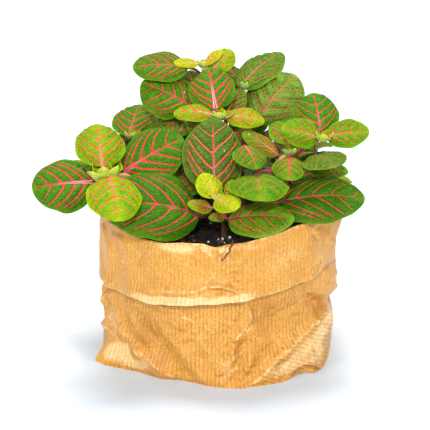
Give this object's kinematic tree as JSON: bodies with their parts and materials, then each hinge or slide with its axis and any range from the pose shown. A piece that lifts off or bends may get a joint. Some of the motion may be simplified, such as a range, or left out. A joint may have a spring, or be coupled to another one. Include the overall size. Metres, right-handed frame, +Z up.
{
  "type": "potted nerve plant in a folded kraft paper bag",
  "caption": "Bushy red-veined nerve plant in a nursery pot, wrapped in a crumpled kraft paper bag with its top folded down into a cuff.",
  "frame": {"origin": "middle of the bag's flat bottom, under the pot's axis, on the surface that it stands on", "axes": "+Z up along the pot's axis, -Y towards the side with the lowest leaves and the loose fold, +X to that side's right"},
  "size_m": [0.1871, 0.1582, 0.1713],
  "materials": {
    "kraft_paper": "satin ribbed brown kraft paper, crumpled",
    "pot_plastic": "matte black moulded plastic",
    "potting_mix": "dark crumbly peat and bark with pale perlite grains",
    "foliage": "quilted satin green leaves with coral-red veins"
  },
  "bodies": {
    "root": {"paper_bag": "kraft_paper", "nursery_pot": "pot_plastic", "potting_mix": "potting_mix", "leafy_stem_left": "foliage", "leafy_stem_left_rear": "foliage", "leafy_stem_front": "foliage", "leafy_stem_front_right": "foliage", "leafy_stem_right": "foliage", "leafy_stem_top": "foliage", "leafy_stem_crown": "foliage", "leafy_stem_top_right": "foliage", "leafy_stem_left_low": "foliage", "leafy_stem_rear_left": "foliage", "leafy_stem_rear": "foliage", "leafy_stem_rear_right": "foliage", "leafy_stem_right_low": "foliage"}
  },
  "joints": []
}
